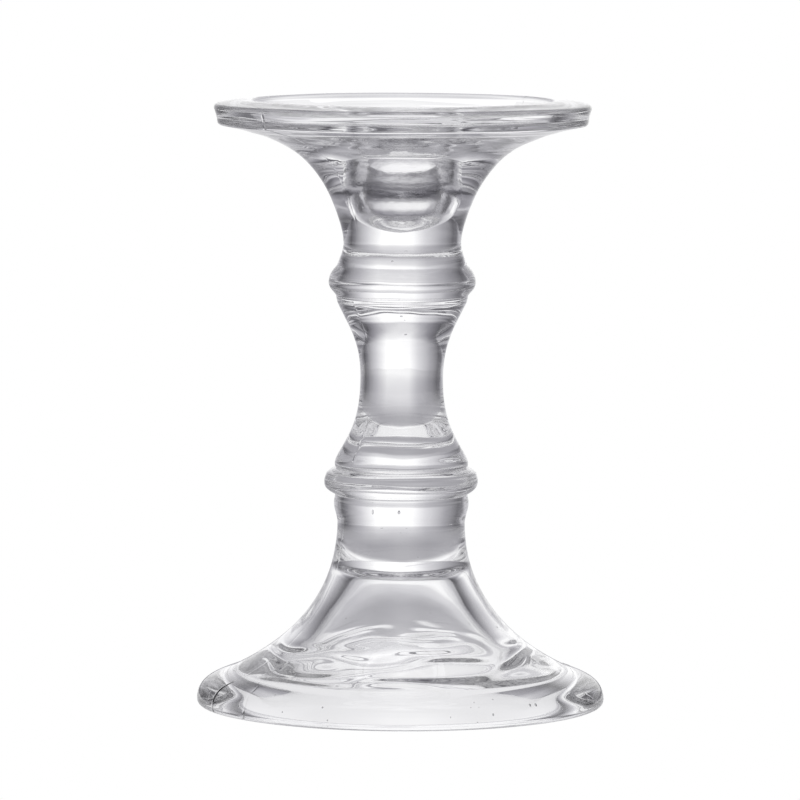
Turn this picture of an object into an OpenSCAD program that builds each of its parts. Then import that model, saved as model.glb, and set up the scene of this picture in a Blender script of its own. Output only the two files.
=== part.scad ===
// Pressed-glass candlestick for a taper candle or a pillar candle.
// Three pieces of glass, fused face to face on flat circular joints.
// The origin is the middle of the foot's resting plane, with +Z up the axis.

/* [Plate] */
// Height of the whole candlestick, foot to lip
total_h = 170; // [166:1:180]
// Widest diameter of the plate
plate_d = 105.6; // [100:0.2:112]
// Height of the rim's outer wall
rim_h = 6.6; // [5:0.2:8]
// Diameter of the recess inside the rim, where a pillar candle stands
recess_d = 84; // [80:1:88]
// Depth of the recess below the lip
recess_depth = 5; // [4:0.2:6]
// Diameter of the flat ring's inner edge, where the floor dips to the socket
dish_d = 58; // [50:1:64]

/* [Taper socket] */
// Diameter of the round bore that holds the candle's end
socket_d = 22.5; // [21:0.1:24]
// Depth of the socket's mouth below the plate's floor
mouth_sink = 3; // [2:0.5:4]
// Length of the straight bore
socket_bore_h = 12; // [8:1:14]
// Diameter at the foot of the socket's tapered part
socket_low_d = 19.6; // [18:0.2:20]
// Height of that foot of the taper
socket_low_z = 141.2; // [139:0.2:142.4]
// Height of the rounded bottom of the socket
socket_bottom_z = 134.5; // [133:0.5:137]

/* [Upper stem] */
// Diameter of the neck under the plate
neck_d = 33; // [30:0.5:36]
// Height of the neck's narrowest place
neck_z = 129.8; // [129:0.1:131]
// Diameter of the rounded knop below the neck
knop_d = 41.3; // [39:0.1:44]
// Height of the knop's widest place
knop_z = 119; // [118:0.5:120]
// Diameter of the step under the knop
step_d = 37; // [35:0.5:38]
// Height of the step's lower edge
step_z = 113.3; // [112:0.1:114]
// Diameter of the waist
waist_d = 23.2; // [21:0.2:26]
// Height of the waist's narrowest place
waist_z = 91; // [88:1:94]
// Diameter of the bell's foot
bell_d = 37.4; // [36:0.2:40]

/* [Joining wafer] */
// Diameter of the squeezed wafer of glass
wafer_d = 43.2; // [41:0.2:46]
// Diameter of the wafer's lower fused face
wafer_low_d = 37.2; // [36:0.2:38]
// Diameter of the wafer's upper fused face
wafer_high_d = 36.2; // [35:0.2:37]
// Height of the lower fused face
wafer_low_z = 59.4; // [58.5:0.1:60]
// Height of the upper fused face
wafer_high_z = 66.8; // [66:0.1:67.5]

/* [Foot] */
// Widest diameter of the foot
foot_d = 114.4; // [108:0.2:120]
// Diameter of the outer edge of the resting ring
rest_d = 110.6; // [106:0.2:110.8]
// Diameter of the hollow's steep wall inside the resting ring
hollow_d = 92; // [86:1:96]
// Height at which that wall turns into the cone of the hollow
hollow_step_z = 7; // [5:0.5:8]
// Height of the hollow's top
hollow_top_z = 38; // [34:1:40]
// Diameter of the short stem above the foot
stem_d = 35.8; // [34:0.2:37]
// Height of that stem's narrowest place
stem_z = 51; // [49:0.5:52]
// Diameter of the small bead under the wafer
bead_d = 37.9; // [37:0.1:40]

/* [Hidden] */
$fn = 128;

// Straight pieces that stand in for each curve
curve_steps = 12;
edge_steps = 5;

// Directions in the (radius, height) plane
OUT = 0;
UP = 90;
IN = 180;
DOWN = 270;

lip_z = total_h;
rim_top_z = total_h - 1;
rim_low_z = rim_top_z - rim_h + 0.6;
floor_z = total_h - recess_depth;
mouth_z = floor_z - mouth_sink;
flare_point = [26.3, 152];
foot_shoulder = [46, 10.7];

function heading(angle) = [cos(angle), sin(angle)];

// A smooth curve that leaves a in direction a_dir and reaches b in direction b_dir.
// The pulls are the lengths of its handles, as shares of the chord.
function curve(a, a_dir, b, b_dir, pulls = [0.4, 0.4], steps = curve_steps) =
    let (
        chord = norm(b - a),
        c = a + pulls[0] * chord * heading(a_dir),
        d = b - pulls[1] * chord * heading(b_dir)
    )
    [for (i = [1 : steps])
        let (t = i / steps, u = 1 - t)
        u^3 * a + 3 * u^2 * t * c + 3 * u * t^2 * d + t^3 * b];

// A short rounded corner
function edge(a, a_dir, b, b_dir) = curve(a, a_dir, b, b_dir, [0.45, 0.45], edge_steps);

module turned(outline) {
    rotate_extrude() polygon(outline);
}

// Outside of the upper pressing, from its fused face up to the lip
function upper_outside() =
    let (
        joint = [wafer_high_d / 2, wafer_high_z],
        bell = [bell_d / 2, wafer_high_z + 1.2],
        waist = [waist_d / 2, waist_z],
        step_low = [step_d / 2 - 0.4, step_z],
        step_high = [step_d / 2, step_z + 1.9],
        knop = [knop_d / 2, knop_z],
        knop_top = [knop_d / 2 - 2.4, knop_z + 4.6],
        neck = [neck_d / 2, neck_z],
        rim_low = [plate_d / 2 - 1.4, rim_low_z],
        rim_wide = [plate_d / 2, rim_top_z - 1.4],
        rim_top = [plate_d / 2 - 1.3, rim_top_z],
        lip = [recess_d / 2 + 1.2, lip_z]
    )
    concat(
        [joint],
        edge(joint, 20, bell, UP),
        curve(bell, UP, waist, UP, [0.13, 0.6]),
        curve(waist, UP, step_low, 64, [0.47, 0.4]),
        edge(step_low, 80, step_high, UP),
        curve(step_high, 60, knop, UP, [0.3, 0.45]),
        curve(knop, UP, knop_top, 135, [0.4, 0.3]),
        curve(knop_top, 110, neck, UP, [0.3, 0.35]),
        curve(neck, UP, flare_point, 48, [0.11, 0.48]),
        curve(flare_point, 48, rim_low, 11, [0.31, 0.36]),
        edge(rim_low, 30, rim_low + [0.5, 1], 80),
        edge(rim_low + [0.5, 1], 84, rim_wide, 70),
        edge(rim_wide, UP, rim_top, 172),
        edge(rim_top, 172, lip, IN)
    );

// Inside of the plate and the socket, from the lip down to the axis
function upper_inside() =
    let (
        lip = [recess_d / 2 + 1.2, lip_z],
        wall_top = [recess_d / 2, lip_z - 1.3],
        wall_low = [recess_d / 2 - 0.6, floor_z + 1.5],
        floor_out = [recess_d / 2 - 2.4, floor_z],
        floor_in = [dish_d / 2, floor_z],
        mouth_out = [socket_d / 2 + 1.8, mouth_z + 1.4],
        mouth = [socket_d / 2, mouth_z],
        bore_low = [socket_d / 2, mouth_z - socket_bore_h],
        taper_low = [socket_low_d / 2, socket_low_z],
        bottom = [0, socket_bottom_z]
    )
    concat(
        edge(lip, IN, wall_top, DOWN),
        [wall_low],
        edge(wall_low, DOWN, floor_out, IN),
        [floor_in],
        curve(floor_in, IN, mouth_out, 200, [0.35, 0.35]),
        edge(mouth_out, 215, mouth, DOWN),
        [bore_low],
        curve(bore_low, DOWN, taper_low, 254),
        curve(taper_low, 254, bottom, IN, [0.36, 0.3])
    );

module upper_pressing() {
    color("gainsboro")
        turned(concat([[0, wafer_high_z]], upper_outside(), upper_inside()));
}

// The wafer is squeezed out past both of the faces it joins.
module joining_wafer() {
    low = [wafer_low_d / 2, wafer_low_z];
    wide = [wafer_d / 2, wafer_low_z + 3.4];
    shoulder = [wafer_d / 2 - 0.6, wafer_high_z - 1.5];
    high = [wafer_high_d / 2, wafer_high_z];
    color("lightgrey")
        turned(concat(
            [[0, wafer_low_z], low],
            curve(low, 30, wide, UP, [0.4, 0.4], edge_steps),
            edge(wide, UP, shoulder, 105),
            curve(shoulder, 130, high, IN, [0.35, 0.35], edge_steps),
            [[0, wafer_high_z]]
        ));
}

// Outside of the foot, from the resting ring up to the fused face
function foot_outside() =
    let (
        rest = [rest_d / 2, 0],
        wide = [foot_d / 2, 1.7],
        stem = [stem_d / 2, stem_z],
        bead = [bead_d / 2, wafer_low_z - 2.5],
        top = [wafer_low_d / 2, wafer_low_z]
    )
    concat(
        [rest],
        edge(rest, OUT, wide, UP),
        curve(wide, UP, foot_shoulder, 150, [0.45, 0.33]),
        curve(foot_shoulder, 153, stem, UP, [0.51, 0.26]),
        curve(stem, UP, bead, UP, [0.35, 0.3]),
        edge(bead, UP, top, UP)
    );

// The hollow under the foot, from its top down to the resting ring
function foot_hollow() =
    let (
        top = [9, hollow_top_z],
        wall_top = [14.6, hollow_top_z - 3.5],
        wall_low = [hollow_d / 2 - 1.8, hollow_step_z],
        ring_top = [hollow_d / 2 - 0.6, hollow_step_z - 1.8],
        ring_low = [hollow_d / 2, 1.2],
        rest = [hollow_d / 2 + 1.2, 0]
    )
    concat(
        [[0, hollow_top_z], top],
        curve(top, OUT, wall_top, 296, [0.5, 0.4], edge_steps),
        curve(wall_top, 296, wall_low, 340, [0.5, 0.3]),
        edge(wall_low, 330, ring_top, 280),
        [ring_low],
        edge(ring_low, 275, rest, 340)
    );

module lower_pressing() {
    color("whitesmoke")
        turned(concat([[0, wafer_low_z]], foot_hollow(), foot_outside()));
}

upper_pressing();
joining_wafer();
lower_pressing();
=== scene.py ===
"""Looks for a pressed-glass candlestick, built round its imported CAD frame."""

import math

import bmesh
import bpy
import numpy as np
from mathutils import Matrix, Vector


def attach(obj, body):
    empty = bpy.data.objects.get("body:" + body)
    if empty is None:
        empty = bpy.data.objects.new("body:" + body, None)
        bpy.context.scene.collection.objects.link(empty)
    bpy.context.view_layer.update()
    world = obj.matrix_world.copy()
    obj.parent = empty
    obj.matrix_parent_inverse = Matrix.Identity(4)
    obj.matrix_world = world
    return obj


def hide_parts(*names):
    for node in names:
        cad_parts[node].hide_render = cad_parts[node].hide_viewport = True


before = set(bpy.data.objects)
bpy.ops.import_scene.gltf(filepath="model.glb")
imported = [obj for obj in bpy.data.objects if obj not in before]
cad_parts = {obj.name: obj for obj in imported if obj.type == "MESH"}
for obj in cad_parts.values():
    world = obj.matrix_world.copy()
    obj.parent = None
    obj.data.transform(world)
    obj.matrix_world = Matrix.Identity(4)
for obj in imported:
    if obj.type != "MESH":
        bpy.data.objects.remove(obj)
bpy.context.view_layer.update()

MM = 0.001

# Directions in the (radius, height) plane, in degrees
OUT, UP, IN, DOWN = 0, 90, 180, 270

# --- Sizes in millimetres, as in the CAD -------------------------------------------------
TOTAL_H = 170.0
PLATE_R = 52.8
RIM_TOP_Z = 169.0
RIM_LOW_Z = 163.0
RECESS_R = 42.0
FLOOR_Z = 165.0
DISH_R = 29.0
SOCKET_R = 11.25
SOCKET_MOUTH_Z = 162.0
SOCKET_BORE_LOW_Z = 150.0
SOCKET_LOW_R = 9.8
SOCKET_LOW_Z = 141.2
SOCKET_BOTTOM_Z = 134.5
NECK = (16.5, 129.8)
KNOP = (20.65, 119.0)
STEP_R = 18.5
STEP_Z = 113.3
WAIST = (11.6, 91.0)
BELL_R = 18.7
WAFER_R = 21.6
WAFER_LOW_R, WAFER_LOW_Z = 18.6, 59.4
WAFER_HIGH_R, WAFER_HIGH_Z = 18.1, 66.8
FOOT_R = 57.2
REST_R = 55.3
HOLLOW_R = 46.0
HOLLOW_TOP_Z = 38.0
STEM = (17.9, 51.0)
BEAD_R = 18.95


# --- Outlines ----------------------------------------------------------------------------
def point(r, z):
    return np.array([r, z], dtype=float)


def heading(angle):
    """The step of length 1 in this direction."""
    return np.array([math.cos(math.radians(angle)), math.sin(math.radians(angle))])


def curve(a, a_dir, b, b_dir, pulls=(0.4, 0.4), steps=28):
    """Points of a smooth curve from a to b, without a itself."""
    a, b = point(*a), point(*b)
    chord = np.linalg.norm(b - a)
    c = a + pulls[0] * chord * heading(a_dir)
    d = b - pulls[1] * chord * heading(b_dir)
    t = np.linspace(0, 1, steps + 1)[1:, None]
    u = 1 - t
    return list(u**3 * a + 3 * u**2 * t * c + 3 * u * t**2 * d + t**3 * b)


def edge(a, a_dir, b, b_dir, steps=10):
    """A short rounded corner."""
    return curve(a, a_dir, b, b_dir, (0.45, 0.45), steps)


def line(a, b, steps=6):
    """Points of a straight line from a to b, without a itself."""
    a, b = point(*a), point(*b)
    return [a + (b - a) * i / steps for i in range(1, steps + 1)]


def upper_outside():
    joint = (WAFER_HIGH_R, WAFER_HIGH_Z)
    bell = (BELL_R, WAFER_HIGH_Z + 1.2)
    step_low = (STEP_R - 0.4, STEP_Z)
    step_high = (STEP_R, STEP_Z + 1.9)
    knop_top = (KNOP[0] - 2.4, KNOP[1] + 4.6)
    flare = (26.3, 152.0)
    rim_low = (PLATE_R - 1.4, RIM_LOW_Z)
    rim_face = (PLATE_R - 0.9, RIM_LOW_Z + 1)
    rim_wide = (PLATE_R, RIM_TOP_Z - 1.4)
    rim_top = (PLATE_R - 1.3, RIM_TOP_Z)
    lip = (RECESS_R + 1.2, TOTAL_H)
    return (
        [point(*joint)]
        + edge(joint, 20, bell, UP)
        + curve(bell, UP, WAIST, UP, (0.13, 0.6))
        + curve(WAIST, UP, step_low, 64, (0.47, 0.4))
        + edge(step_low, 80, step_high, UP)
        + curve(step_high, 60, KNOP, UP, (0.3, 0.45), 12)
        + curve(KNOP, UP, knop_top, 135, (0.4, 0.3), 14)
        + curve(knop_top, 110, NECK, UP, (0.3, 0.35), 16)
        + curve(NECK, UP, flare, 48, (0.11, 0.48))
        + curve(flare, 48, rim_low, 11, (0.31, 0.36))
        + edge(rim_low, 30, rim_face, 80, 6)
        + edge(rim_face, 84, rim_wide, 70)
        + edge(rim_wide, UP, rim_top, 172)
        + edge(rim_top, 172, lip, IN)
    )


def upper_inside():
    lip = (RECESS_R + 1.2, TOTAL_H)
    wall_top = (RECESS_R, TOTAL_H - 1.3)
    wall_low = (RECESS_R - 0.6, FLOOR_Z + 1.5)
    floor_out = (RECESS_R - 2.4, FLOOR_Z)
    floor_in = (DISH_R, FLOOR_Z)
    mouth_out = (SOCKET_R + 1.8, SOCKET_MOUTH_Z + 1.4)
    mouth = (SOCKET_R, SOCKET_MOUTH_Z)
    bore_low = (SOCKET_R, SOCKET_BORE_LOW_Z)
    taper_low = (SOCKET_LOW_R, SOCKET_LOW_Z)
    bottom = (0, SOCKET_BOTTOM_Z)
    plate = (
        edge(lip, IN, wall_top, DOWN)
        + line(wall_top, wall_low)
        + edge(wall_low, DOWN, floor_out, IN)
        + line(floor_out, floor_in)
        + curve(floor_in, IN, mouth_out, 200, (0.35, 0.35))
        + edge(mouth_out, 215, mouth, DOWN)
    )
    socket = (
        line(mouth, bore_low)
        + curve(bore_low, DOWN, taper_low, 254, (0.4, 0.4), 12)
        + curve(taper_low, 254, bottom, IN, (0.36, 0.3), 20)
    )
    return plate, socket


def wafer_outside():
    low = (WAFER_LOW_R, WAFER_LOW_Z)
    wide = (WAFER_R, WAFER_LOW_Z + 3.4)
    shoulder = (WAFER_R - 0.6, WAFER_HIGH_Z - 1.5)
    high = (WAFER_HIGH_R, WAFER_HIGH_Z)
    return (
        [point(*low)]
        + curve(low, 30, wide, UP, (0.4, 0.4), 16)
        + edge(wide, UP, shoulder, 105)
        + curve(shoulder, 130, high, IN, (0.35, 0.35), 12)
    )


def foot_outside():
    rest = (REST_R, 0)
    wide = (FOOT_R, 1.7)
    shoulder = (46.0, 10.7)
    bead = (BEAD_R, WAFER_LOW_Z - 2.5)
    top = (WAFER_LOW_R, WAFER_LOW_Z)
    return (
        edge(rest, OUT, wide, UP)
        + curve(wide, UP, shoulder, 150, (0.45, 0.33))
        + curve(shoulder, 153, STEM, UP, (0.51, 0.26), 40)
        + curve(STEM, UP, bead, UP, (0.35, 0.3), 14)
        + edge(bead, UP, top, UP)
    )


def foot_inside():
    top = (9, HOLLOW_TOP_Z)
    wall_top = (14.6, HOLLOW_TOP_Z - 3.5)
    wall_low = (HOLLOW_R - 1.8, 7.0)
    ring_top = (HOLLOW_R - 0.6, 5.2)
    ring_low = (HOLLOW_R, 1.2)
    rest_in = (HOLLOW_R + 1.2, 0)
    return (
        line((0, HOLLOW_TOP_Z), top, 8)
        + curve(top, OUT, wall_top, 296, (0.5, 0.4), 12)
        + curve(wall_top, 296, wall_low, 340, (0.5, 0.3), 64)
        + edge(wall_low, 330, ring_top, 280)
        + line(ring_top, ring_low, 4)
        + edge(ring_low, 275, rest_in, 340)
        + line(rest_in, (REST_R, 0), 4)
    )


# --- Lathe -------------------------------------------------------------------------------
# Degrees between the points of a ring, then beside a mould seam, and how far the finer part reaches
ANGLE_STEP = 1.5
SEAM_STEP = 0.15
SEAM_REACH = 1.5
# A radius below this, in millimetres, is on the axis
ON_AXIS = 1e-6
# Keeps a division by a length of zero harmless
TINY = 1e-12
# Smallest and largest radius of a seed, in millimetres
SEED_SIZES = (0.12, 0.34)


def around(seams):
    """Angles round the axis, closer together at the mould seams."""
    angles = set(np.round(np.arange(0, 360, ANGLE_STEP), 3))
    for seam in seams:
        beside = np.arange(seam - SEAM_REACH, seam + SEAM_REACH + SEAM_STEP / 2, SEAM_STEP)
        angles |= set(np.round(beside % 360, 3))
    return np.radians(sorted(angles))


def ripples(theta, along, seed, turns, lengths, count=16):
    """A smooth random wave of height about 1 over the surface.

    turns is the range of whole waves round the axis, lengths the range of wavelengths in
    millimetres along the outline."""
    rng = np.random.default_rng(seed)
    total = np.zeros(np.broadcast(theta, along).shape)
    for _ in range(count):
        turn = rng.integers(turns[0], turns[1] + 1)
        pace = 2 * math.pi / rng.uniform(*lengths) * rng.choice((-1, 1))
        total += np.cos(turn * theta + pace * along + rng.uniform(0, 2 * math.pi))
    return total / math.sqrt(count)


def ridge(theta, radius, seams, width):
    """A mould seam, as a share of its full height: 1 on the seam, falling to 0 beside it."""
    total = np.zeros(np.broadcast(theta, radius).shape)
    for seam in seams:
        off = (theta - math.radians(seam) + math.pi) % (2 * math.pi) - math.pi
        total += np.exp(-((off * radius / width) ** 2))
    return total


def turned(name, rings, zones, seams, relief):
    """A mesh of the rings (radius, height) turned round the axis.

    zones gives each band between two rings its material. relief(theta, along, radius, height)
    moves the surface out along its normal, in millimetres."""
    rings = np.array(rings)
    theta = around(seams)
    step = np.diff(rings, axis=0)
    along = np.concatenate([[0], np.cumsum(np.linalg.norm(step, axis=1))])
    slope = np.gradient(rings, axis=0)
    normal = np.stack([slope[:, 1], -slope[:, 0]], axis=1)
    normal /= np.linalg.norm(normal, axis=1)[:, None] + TINY
    radius, height = rings[:, 0][:, None], rings[:, 1][:, None]
    out = relief(theta[None, :], along[:, None], radius, height)
    out = out * (radius > ON_AXIS)
    r = np.clip(radius + out * normal[:, 0][:, None], 0, rings[:, 0].max())
    z = np.clip(height + out * normal[:, 1][:, None], rings[:, 1].min(), rings[:, 1].max())
    grid = np.stack([r * np.cos(theta), r * np.sin(theta), z + 0 * theta], axis=-1) * MM
    count = len(theta)
    verts, rows = [], []
    for ring, points in zip(rings, grid):
        if ring[0] < ON_AXIS:
            rows.append([len(verts)] * count)
            verts.append(tuple(points[0]))
        else:
            rows.append(list(range(len(verts), len(verts) + count)))
            verts.extend(map(tuple, points))
    faces, materials = [], []
    for low, high, zone in zip(rows, rows[1:], zones):
        for i in range(count):
            k = (i + 1) % count
            faces.append(list(dict.fromkeys([low[i], low[k], high[k], high[i]])))
            materials.append(zone)
    mesh = bpy.data.meshes.new(name)
    mesh.from_pydata(verts, [], faces)
    mesh.polygons.foreach_set("material_index", materials)
    mesh.polygons.foreach_set("use_smooth", [True] * len(faces))
    mesh.update()
    piece = bpy.data.objects.new(name, mesh)
    bpy.context.scene.collection.objects.link(piece)
    return piece


def add_seeds(piece, places, seed):
    """Seeds, the tiny bubbles in pressed glass: small hollows inside the piece.

    places gives, for each group, how many, and the ranges of radius and height that hold them."""
    rng = np.random.default_rng(seed)
    balls = bmesh.new()
    for count, radii, heights in places:
        for _ in range(count):
            theta = rng.uniform(0, 2 * math.pi)
            radius = rng.uniform(*radii)
            centre = Vector((radius * math.cos(theta), radius * math.sin(theta), rng.uniform(*heights)))
            size = rng.uniform(*SEED_SIZES) * MM
            bmesh.ops.create_icosphere(
                balls, subdivisions=2, radius=size, matrix=Matrix.Translation(centre * MM)
            )
    for face in balls.faces:
        face.normal_flip()
        face.smooth = True
    hollows = bpy.data.meshes.new("seeds")
    balls.to_mesh(hollows)
    balls.free()
    whole = bmesh.new()
    whole.from_mesh(piece.data)
    whole.from_mesh(hollows)
    whole.to_mesh(piece.data)
    whole.free()
    bpy.data.meshes.remove(hollows)


# --- Shader helpers ----------------------------------------------------------------------
# The tint of the darkest greys, a little violet
SHADE = (0.97, 0.95, 1.06)


def shade_colour(level):
    """A grey of this brightness, tinted more the darker it is."""
    depth = 1 - min(level, 1.0)
    return [level * (1 + (channel - 1) * depth) for channel in SHADE]


def ramp(tree, value, stops, low, high):
    """A colour ramp over value, with its stops given between low and high."""
    node = tree.nodes.new("ShaderNodeValToRGB")
    elements = node.color_ramp.elements
    elements.remove(elements[-1])
    for index, (place, level) in enumerate(stops):
        position = (place - low) / (high - low)
        element = elements[0] if index == 0 else elements.new(position)
        element.position = position
        element.color = (*shade_colour(level), 1)
    span = tree.nodes.new("ShaderNodeMapRange")
    span.inputs["From Min"].default_value = low
    span.inputs["From Max"].default_value = high
    tree.links.new(value, span.inputs["Value"])
    tree.links.new(span.outputs["Result"], node.inputs["Fac"])
    return node.outputs["Color"]


def maths(tree, operation, *inputs):
    """A Math node. Its inputs are numbers or sockets."""
    node = tree.nodes.new("ShaderNodeMath")
    node.operation = operation
    for socket, value in zip(node.inputs, inputs):
        if isinstance(value, (int, float)):
            socket.default_value = value
        else:
            tree.links.new(value, socket)
    return node.outputs[0]


def mixed(tree, blend_type, factor, a, b):
    """A Mix node for colours. The factor is a number or a socket, a and b are sockets."""
    node = tree.nodes.new("ShaderNodeMix")
    node.data_type = "RGBA"
    node.blend_type = blend_type
    for name, value in (("Factor", factor), ("A", a), ("B", b)):
        socket = [s for s in node.inputs if s.name == name and s.enabled][0]
        if isinstance(value, (int, float)):
            socket.default_value = value
        else:
            tree.links.new(value, socket)
    return [s for s in node.outputs if s.enabled][0]


# --- Materials ---------------------------------------------------------------------------
# Each piece has these materials in its slots, in this order
POLISHED, FUSED, ROUGH = 0, 1, 2

GLASS_COLOUR = (0.985, 0.985, 0.99, 1)
GLASS_IOR = 1.52
# The socket's wall: how dull it is, and its bumps as (size, height), both in metres
PLUNGER_ROUGHNESS = 0.14
PLUNGER_BUMPS = [(0.005, 0.00025), (0.0012, 0.00003)]
# Painted shade: the socket's wall is coloured darker by height, most in a band low in the bore and at
# the bottom.
# How clear the socket's wall is, by height in metres, set to suit the photo's tones
PAINTED_SHADE_BY_HEIGHT = [
    (0.1345, 0.5), (0.141, 0.6), (0.1425, 0.97), (0.1445, 0.97),
    (0.146, 0.25), (0.1505, 0.25), (0.1535, 0.8), (0.162, 0.9),
]
# How far the painted shade's edge wanders up and down, in metres, and how many times in a metre
SHADE_EDGE_DRIFT = 0.0015
SHADE_EDGE_SCALE = 450.0


def glass_material(name, roughness, bumps):
    """Clear glass. Each bump is (size, height), both in metres."""
    mat = bpy.data.materials.new(name)
    mat.use_nodes = True
    nodes, links = mat.node_tree.nodes, mat.node_tree.links
    principled = nodes["Principled BSDF"]
    principled.inputs["Base Color"].default_value = GLASS_COLOUR
    principled.inputs["Transmission Weight"].default_value = 1.0
    principled.inputs["Roughness"].default_value = roughness
    principled.inputs["IOR"].default_value = GLASS_IOR
    place = nodes.new("ShaderNodeTexCoord").outputs["Object"]
    normal = None
    for size, height in bumps:
        scale = nodes.new("ShaderNodeMapping")
        scale.inputs["Scale"].default_value = (1 / size, 1 / size, 1 / size)
        links.new(place, scale.inputs["Vector"])
        noise = nodes.new("ShaderNodeTexNoise")
        noise.inputs["Scale"].default_value = 1.0
        noise.inputs["Detail"].default_value = 2.0
        links.new(scale.outputs[0], noise.inputs["Vector"])
        bump = nodes.new("ShaderNodeBump")
        bump.inputs["Strength"].default_value = 1.0
        bump.inputs["Distance"].default_value = height
        links.new(noise.outputs["Fac"], bump.inputs["Height"])
        if normal is not None:
            links.new(normal, bump.inputs["Normal"])
        normal = bump.outputs["Normal"]
    if normal is not None:
        links.new(normal, principled.inputs["Normal"])
    return mat


def plunger_glass():
    """The socket's wall, which the plunger left dull, with painted shade: its colour is darker in bands
    by height.
    """
    mat = glass_material("plunger_glass", PLUNGER_ROUGHNESS, PLUNGER_BUMPS)
    tree = mat.node_tree
    place = tree.nodes.new("ShaderNodeTexCoord").outputs["Object"]
    split = tree.nodes.new("ShaderNodeSeparateXYZ")
    tree.links.new(place, split.inputs[0])
    shade_noise = tree.nodes.new("ShaderNodeTexNoise")
    shade_noise.inputs["Scale"].default_value = SHADE_EDGE_SCALE
    shade_noise.inputs["Detail"].default_value = 3.0
    tree.links.new(place, shade_noise.inputs["Vector"])
    drift = maths(tree, "MULTIPLY_ADD", shade_noise.outputs["Fac"], SHADE_EDGE_DRIFT, split.outputs["Z"])
    # Painted shade: the wall's colour is darkened by height, with a wandering edge
    clear = ramp(tree, drift, PAINTED_SHADE_BY_HEIGHT, SOCKET_BOTTOM_Z * MM, SOCKET_MOUTH_Z * MM)
    tree.links.new(clear, tree.nodes["Principled BSDF"].inputs["Base Color"])
    return mat


def fused_material():
    """Glass that meets glass: light goes straight through the joint."""
    mat = bpy.data.materials.new("fused_joint")
    mat.use_nodes = True
    nodes = mat.node_tree.nodes
    nodes.remove(nodes["Principled BSDF"])
    clear = nodes.new("ShaderNodeBsdfTransparent")
    mat.node_tree.links.new(clear.outputs[0], nodes["Material Output"].inputs["Surface"])
    return mat


MATERIALS = [
    glass_material("clear_glass", 0.0, []),
    fused_material(),
    plunger_glass(),
]


# --- The three pieces --------------------------------------------------------------------
# Angles of the mould seams round the axis, in degrees
UPPER_SEAMS = (-137, 43)
FOOT_SEAMS = (-156, 24)
# Height of a seam where it stands out and where it is faint, then its width, all in millimetres
UPPER_SEAM_BOLD = 0.11
FOOT_SEAM_BOLD = 0.16
SEAM_FAINT = 0.03
UPPER_SEAM_WIDTH = 0.35
FOOT_SEAM_WIDTH = 0.4
# How far before the inner lip the upper seams end, along the outline in millimetres
SEAM_TO_LIP = 9
# How far before the resting ring's outer edge the foot's inside ends, in millimetres
HOLLOW_TO_RING_EDGE = 6
# The waves left by the moulds, for ripples()
SLOW_WAVES = {"turns": (1, 6), "lengths": (12, 40)}
FINE_WAVES = {"turns": (3, 20), "lengths": (3.5, 9)}
FINE_HEIGHT = 0.006


def piece_of_glass(name, parts, seams, relief, node):
    """parts is a list of (points, zone), in order along the outline."""
    rings, zones = [], []
    for points, zone in parts:
        rings += list(points)
        zones += [zone] * len(points)
    piece = turned(name, rings, zones[1:], seams, relief)
    for material in MATERIALS:
        piece.data.materials.append(material)
    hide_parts(node)
    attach(piece, "root")
    return piece


def rising(height, start, span):
    """0 up to the start, then rising to 1 over the span."""
    return np.clip((height - start) / span, 0, 1)


def falling(height, end, span):
    """1 at first, then falling over the span to 0 at the end."""
    return np.clip((end - height) / span, 0, 1)


def upper_relief(theta, along, radius, height):
    """Waves left by the mould, and its seams, which end at the rim's outer top edge."""
    waves = 0.045 * ripples(theta, along, 3, **SLOW_WAVES)
    fine = FINE_HEIGHT * ripples(theta, along, 5, **FINE_WAVES)
    plate = rising(height, 150, 8)
    plate_waves = 0.05 * plate * ripples(theta, along, 12, turns=(2, 9), lengths=(6, 16))
    # The seams stand out on the bell and on the rim
    bold = (height < 80) | (height > 160)
    seam = np.where(bold, UPPER_SEAM_BOLD, SEAM_FAINT)
    seam = seam * ridge(theta, radius, UPPER_SEAMS, UPPER_SEAM_WIDTH)
    outside = along < UPPER_SEAM_END
    # The fused face stays flat
    joint = rising(height, WAFER_HIGH_Z, 2)
    return (waves + fine + plate_waves + np.where(outside, seam, 0)) * joint


def outline_length(points):
    return float(np.linalg.norm(np.diff(np.array(points), axis=0), axis=1).sum())


axis_point = [point(0, WAFER_HIGH_Z)]
outside = upper_outside()
UPPER_SEAM_END = outline_length(axis_point + outside) - SEAM_TO_LIP
inside, socket = upper_inside()
upper = piece_of_glass(
    "plate_and_stem",
    [(axis_point, FUSED), (outside[:1], FUSED), (outside[1:], POLISHED), (inside, POLISHED),
     (socket, ROUGH)],
    UPPER_SEAMS,
    upper_relief,
    "upper_pressing",
)
UPPER_SEEDS = [
    (6, (46, 50), (163.5, 166)),
    (7, (0, 9), (100, 128)),
    (5, (13, 15), (134, 146)),
]
add_seeds(upper, UPPER_SEEDS, 31)


def wafer_relief(theta, along, radius, height):
    """The wafer was squeezed by hand, so it bulges unevenly."""
    middle = rising(height, WAFER_LOW_Z, 2) * falling(height, WAFER_HIGH_Z, 2)
    return 0.18 * ripples(theta, along, 8, turns=(1, 5), lengths=(8, 20)) * middle


wafer = wafer_outside()
piece_of_glass(
    "wafer",
    [([point(0, WAFER_LOW_Z)], FUSED), (wafer[:1], FUSED), (wafer[1:], POLISHED),
     ([point(0, WAFER_HIGH_Z)], FUSED)],
    (),
    wafer_relief,
    "joining_wafer",
)


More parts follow.
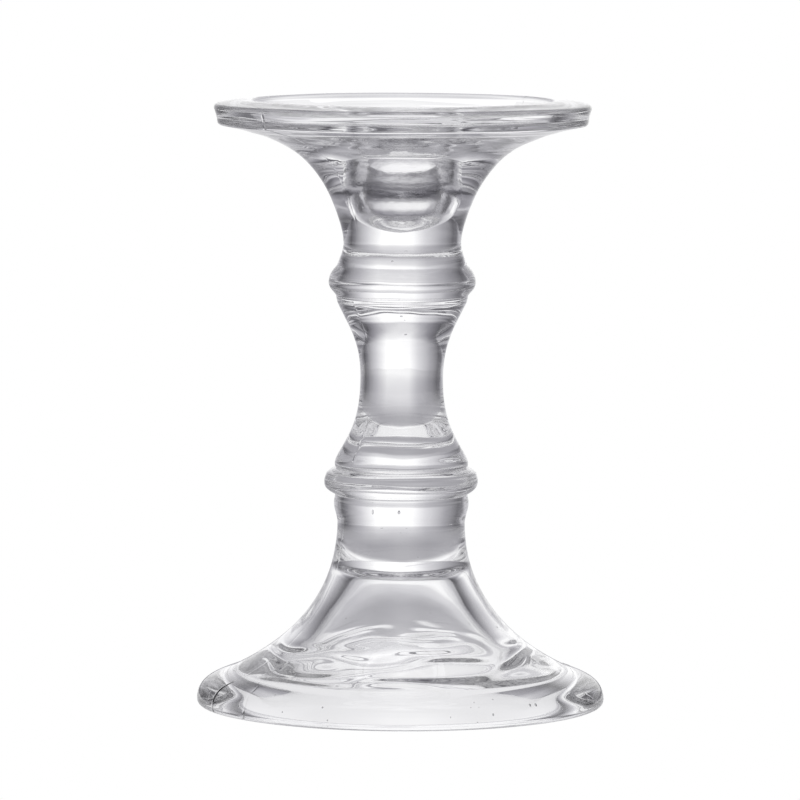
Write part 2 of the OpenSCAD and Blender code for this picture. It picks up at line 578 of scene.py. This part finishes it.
def foot_relief(theta, along, radius, height):
    """Ripples low in the hollow, where the glass chilled on the plunger, and seams on the outside."""
    inside = along < HOLLOW_END
    low = rising(height, 4.5, 2) * falling(height, 17.5, 4)
    sway = 2.5 * ripples(theta, along, 40, turns=(2, 6), lengths=(14, 30))
    ripple = 0.20 * ripples(theta, along + sway, 24, turns=(1, 5), lengths=(8, 14)) * low
    waves = 0.04 * ripples(theta, along, 4, **SLOW_WAVES)
    fine = FINE_HEIGHT * ripples(theta, along, 6, **FINE_WAVES)
    # Near its edge the foot is smoother outside, and the seams stand out
    rough = np.clip(height / 12, 0.2, 1)
    seam = np.where(height < 9, FOOT_SEAM_BOLD, SEAM_FAINT)
    seam = seam * ridge(theta, radius, FOOT_SEAMS, FOOT_SEAM_WIDTH)
    # The resting ring and the fused face stay flat
    ends = rising(height, 0, 1.5) * falling(height, WAFER_LOW_Z, 2)
    return np.where(inside, ripple + waves, seam + rough * (waves + fine)) * ends


hollow_top = [point(0, HOLLOW_TOP_Z)]
hollow = foot_inside()
HOLLOW_END = outline_length(hollow_top + hollow) - HOLLOW_TO_RING_EDGE
lower = piece_of_glass(
    "foot_and_stem",
    [(hollow_top, POLISHED), (hollow, POLISHED), (foot_outside(), POLISHED),
     ([point(0, WAFER_LOW_Z)], FUSED)],
    FOOT_SEAMS,
    foot_relief,
    "lower_pressing",
)
LOWER_SEEDS = [
    (30, (47.5, 54.5), (1.2, 5.5)),
    (8, (0, 14), (41, 56)),
    (10, (24, 29), (21, 23)),
]
add_seeds(lower, LOWER_SEEDS, 32)


# --- Stage -------------------------------------------------------------------------------
# The camera sees a plain white room and table, but the glass gathers its light from the graded
# ones that these stops describe. All of them were set to suit the photo's tones.
# Brightness by direction, as degrees to the right of straight ahead; the same in front and behind
ACROSS_THE_ROOM = [
    (-90, 0.75), (-66, 0.52), (-57, 0.16), (-48, 0.11), (-31, 0.34), (-15, 0.67), (-7, 0.94), (14, 1.0),
    (27, 0.58), (43, 0.18), (50, 0.08), (66, 0.42), (90, 0.75),
]
# Brightness by height above the horizon, in degrees
UP_THE_ROOM = [(0, 1.15), (24, 1.1), (31, 0.62), (45, 0.45), (68, 0.5), (76, 1.5), (90, 1.5)]
# Brightness of the table by distance from the candlestick's axis, in metres
ALONG_THE_TABLE = [
    (0, 0.95), (0.045, 0.9), (0.055, 0.76), (0.07, 0.8), (0.08, 1.15), (0.096, 0.42), (0.16, 0.40),
    (0.3, 0.67), (0.45, 0.76), (2.0, 1.0),
]
# How much the table takes the room's brightness across, by the same distance
TABLE_IN_THE_ROOM = [(0, 0), (0.15, 0.1), (0.28, 0.75), (0.5, 0.95), (1.0, 1.0)]
TABLE_REACH = 2.0
# Share of the light that is left after each turn in the glass beyond the free ones
KEPT_BY_GLASS = 0.945
FREE_TURNS = 4
# Half the side of the square table, and the gap under the foot that keeps their faces apart, in metres
TABLE_HALF_SIDE = 8.0
TABLE_GAP = 0.0002


def room_parts(tree, vector):
    """Of a place or direction: the room's brightness across, the distance from the axis, the height."""
    split = tree.nodes.new("ShaderNodeSeparateXYZ")
    tree.links.new(vector, split.inputs[0])
    x, y, z = split.outputs
    side = maths(tree, "DEGREES", maths(tree, "ARCTAN2", x, maths(tree, "ABSOLUTE", y)))
    squares = maths(tree, "ADD", maths(tree, "POWER", x, 2), maths(tree, "POWER", y, 2))
    return ramp(tree, side, ACROSS_THE_ROOM, -90, 90), maths(tree, "SQRT", squares), z


def dimmed_by_glass(tree, colour):
    """Light that turned more than FREE_TURNS times in the glass is dimmer with every further turn."""
    path = tree.nodes.new("ShaderNodeLightPath")
    further = maths(tree, "SUBTRACT", path.outputs["Ray Depth"], FREE_TURNS)
    kept = maths(tree, "POWER", KEPT_BY_GLASS, maths(tree, "MAXIMUM", further, 0))
    return mixed(tree, "MULTIPLY", 1.0, colour, kept)


def white_to_camera(tree, shader, white, output):
    """The camera itself sees plain white; the glass sees the shader."""
    path = tree.nodes.new("ShaderNodeLightPath")
    mix = tree.nodes.new("ShaderNodeMixShader")
    tree.links.new(path.outputs["Is Camera Ray"], mix.inputs["Fac"])
    tree.links.new(shader.outputs[0], mix.inputs[1])
    tree.links.new(white.outputs[0], mix.inputs[2])
    tree.links.new(mix.outputs[0], tree.nodes.new(output).inputs["Surface"])


def build_world():
    world = bpy.data.worlds.new("studio")
    bpy.context.scene.world = world
    world.use_nodes = True
    tree = world.node_tree
    tree.nodes.clear()
    direction = tree.nodes.new("ShaderNodeTexCoord").outputs["Generated"]
    across, flat, z = room_parts(tree, direction)
    rise = maths(tree, "DEGREES", maths(tree, "ARCTAN2", maths(tree, "ABSOLUTE", z), flat))
    up = ramp(tree, rise, UP_THE_ROOM, 0, 90)
    room = tree.nodes.new("ShaderNodeBackground")
    lit = mixed(tree, "MULTIPLY", 1.0, across, up)
    tree.links.new(dimmed_by_glass(tree, lit), room.inputs["Color"])
    white = tree.nodes.new("ShaderNodeBackground")
    white.inputs["Color"].default_value = (1, 1, 1, 1)
    white_to_camera(tree, room, white, "ShaderNodeOutputWorld")


def build_floor():
    mesh = bpy.data.meshes.new("floor")
    side = TABLE_HALF_SIDE
    corners = [(-side, -side, 0), (side, -side, 0), (side, side, 0), (-side, side, 0)]
    mesh.from_pydata(corners, [], [(0, 1, 2, 3)])
    floor = bpy.data.objects.new("floor", mesh)
    floor.location.z = -TABLE_GAP
    bpy.context.scene.collection.objects.link(floor)
    mat = bpy.data.materials.new("white_table")
    mat.use_nodes = True
    tree = mat.node_tree
    tree.nodes.clear()
    place = tree.nodes.new("ShaderNodeNewGeometry").outputs["Position"]
    across, distance, _ = room_parts(tree, place)
    near = ramp(tree, distance, ALONG_THE_TABLE, 0, TABLE_REACH)
    share = ramp(tree, distance, TABLE_IN_THE_ROOM, 0, TABLE_REACH)
    lit = mixed(tree, "MULTIPLY", share, near, across)
    table = tree.nodes.new("ShaderNodeEmission")
    tree.links.new(dimmed_by_glass(tree, lit), table.inputs["Color"])
    white = tree.nodes.new("ShaderNodeEmission")
    white.inputs["Color"].default_value = (1, 1, 1, 1)
    white_to_camera(tree, table, white, "ShaderNodeOutputMaterial")
    mesh.materials.append(mat)


build_world()
build_floor()

# --- Camera ------------------------------------------------------------------------------
CAMERA_DISTANCE = 1.800
CAMERA_HEIGHT = 0.251
AIM = Vector((-0.00046, 0, 0.08575))
ROLL = math.radians(0.26)
PIXELS_PER_METRE_AT_AXIS = 3567
IMAGE_SIDE = 800
SENSOR = 36.0
CLIP_END = 20

camera_data = bpy.data.cameras.new("camera")
camera = bpy.data.objects.new("camera", camera_data)
bpy.context.scene.collection.objects.link(camera)
camera.location = (0, -CAMERA_DISTANCE, CAMERA_HEIGHT)
to_aim = AIM - camera.location
turn = to_aim.to_track_quat("-Z", "Y")
camera.rotation_euler = (turn.to_matrix() @ Matrix.Rotation(ROLL, 3, "Z")).to_euler()
camera_data.sensor_width = SENSOR
camera_data.lens = PIXELS_PER_METRE_AT_AXIS * to_aim.length * SENSOR / IMAGE_SIDE
camera_data.clip_end = CLIP_END
bpy.context.scene.camera = camera

bpy.context.scene.view_settings.view_transform = "Standard"
# Light is reflected many times inside the glass before it comes out
BOUNCES = 64
cycles = bpy.context.scene.cycles
cycles.max_bounces = BOUNCES
cycles.transmission_bounces = BOUNCES
cycles.glossy_bounces = BOUNCES
